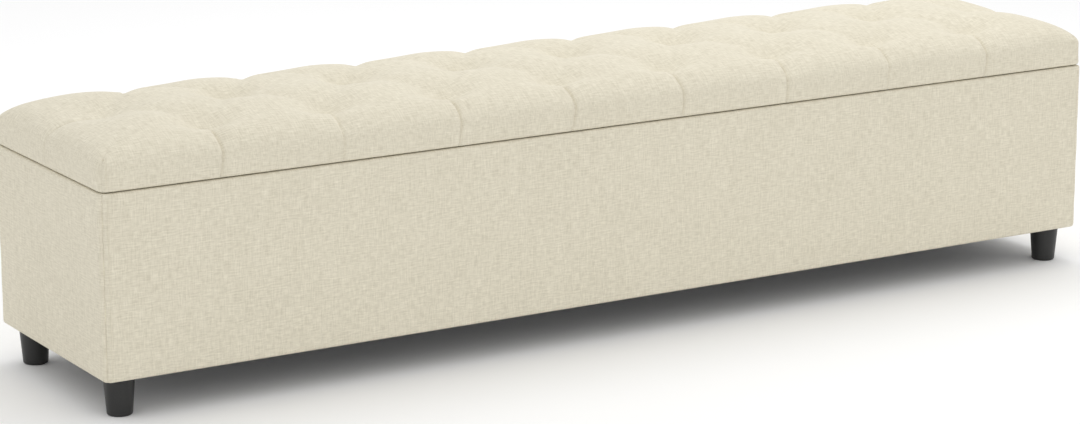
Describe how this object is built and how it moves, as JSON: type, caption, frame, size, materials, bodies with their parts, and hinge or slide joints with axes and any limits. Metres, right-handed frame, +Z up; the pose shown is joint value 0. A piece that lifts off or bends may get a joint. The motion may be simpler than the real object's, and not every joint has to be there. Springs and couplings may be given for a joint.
{
  "type": "storage bench",
  "caption": "Long upholstered storage bench: padded cream box on short black tapered feet, closed by a hinged lid with a diamond-tufted cushioned top.",
  "frame": {"origin": "on the floor under the centre of the bench, between its four feet", "axes": "+X along the bench's length to the right when facing its front, +Y towards its hinged back, +Z up"},
  "size_m": [1.8, 0.39, 0.434],
  "materials": {
    "linen": "cream slubbed linen-look weave, matt",
    "foam": "open-cell upholstery foam and wadding, matt",
    "plywood": "plain plywood, unfinished",
    "timber": "sawn softwood, unfinished",
    "lining_cloth": "fine non-woven lining, matt",
    "dust_cloth": "black non-woven cloth, matt",
    "foot_plastic": "black, semi-matt",
    "zinc_steel": "bright zinc-plated steel",
    "hinge_steel": "nickel-plated steel",
    "stay_steel": "zinc-plated steel strip",
    "twine": "waxed nylon twine, cream",
    "disc_plastic": "white plastic"
  },
  "bodies": {
    "box": {"front_panel": "plywood", "back_panel": "plywood", "left_panel": "plywood", "right_panel": "plywood", "storage_floor": "plywood", "bottom_rail_front": "timber", "bottom_rail_back": "timber", "bottom_rail_left": "timber", "bottom_rail_right": "timber", "cross_rails": "timber", "foot_blocks": "timber", "panel_screws": "zinc_steel", "box_pad_front": "foam", "box_pad_back": "foam", "box_pad_left": "foam", "box_pad_right": "foam", "box_cover_front": "linen", "box_cover_back": "linen", "box_cover_left": "linen", "box_cover_right": "linen", "storage_lining": "lining_cloth", "dust_cover": "dust_cloth", "foot_front_left": "foot_plastic", "foot_front_right": "foot_plastic", "foot_back_left": "foot_plastic", "foot_back_right": "foot_plastic", "foot_bolts": "zinc_steel", "foot_tee_nuts": "zinc_steel", "hinge_left_box_leaf": "hinge_steel", "hinge_middle_box_leaf": "hinge_steel", "hinge_right_box_leaf": "hinge_steel", "hinge_pins": "hinge_steel", "hinge_screws_box": "hinge_steel", "stay_left_box_bracket": "stay_steel", "stay_right_box_bracket": "stay_steel", "stay_box_rivets": "stay_steel", "stay_box_screws": "zinc_steel"},
    "lid": {"lid_board": "plywood", "lid_foam": "foam", "lid_edge_wadding": "foam", "lid_cover": "linen", "lid_lining": "lining_cloth", "tuft_ties": "twine", "tuft_discs": "disc_plastic", "hinge_left_lid_leaf": "hinge_steel", "hinge_middle_lid_leaf": "hinge_steel", "hinge_right_lid_leaf": "hinge_steel", "hinge_screws_lid": "hinge_steel", "stay_left_lid_bracket": "stay_steel", "stay_right_lid_bracket": "stay_steel", "stay_lid_rivets": "stay_steel", "stay_lid_screws": "zinc_steel"},
    "stay_left_lower": {"stay_left_lower_arm": "stay_steel", "stay_left_elbow_rivet": "stay_steel"},
    "stay_right_lower": {"stay_right_lower_arm": "stay_steel", "stay_right_elbow_rivet": "stay_steel"},
    "stay_left_upper": {"stay_left_upper_arm": "stay_steel"},
    "stay_right_upper": {"stay_right_upper_arm": "stay_steel"}
  },
  "joints": [
    {"name": "lid_hinge", "type": "hinge", "parent": "box", "child": "lid", "pos_m": [0, 0.1924, 0.3411], "axis": [-1, 0, 0], "range_deg": [0, 90]},
    {"name": "stay_left_lower_pivot", "type": "hinge", "parent": "box", "child": "stay_left_lower", "pos_m": [-0.874, 0.1174, 0.2011], "axis": [-1, 0, 0], "range_deg": [0, 90]},
    {"name": "stay_left_elbow", "type": "hinge", "parent": "stay_left_lower", "child": "stay_left_upper", "pos_m": [-0.8715, -0.0626, 0.1821], "axis": [-1, 0, 0], "range_deg": [-90, 0]},
    {"name": "stay_right_lower_pivot", "type": "hinge", "parent": "box", "child": "stay_right_lower", "pos_m": [0.874, 0.1174, 0.2011], "axis": [-1, 0, 0], "range_deg": [0, 90]},
    {"name": "stay_right_elbow", "type": "hinge", "parent": "stay_right_lower", "child": "stay_right_upper", "pos_m": [0.8715, -0.0626, 0.1821], "axis": [-1, 0, 0], "range_deg": [-90, 0]}
  ],
  "couplings": [
    {"joint": "stay_left_lower_pivot", "follows": "lid_hinge", "ratio": 1},
    {"joint": "stay_left_elbow", "follows": "lid_hinge", "ratio": -1},
    {"joint": "stay_right_lower_pivot", "follows": "lid_hinge", "ratio": 1},
    {"joint": "stay_right_elbow", "follows": "lid_hinge", "ratio": -1}
  ]
}
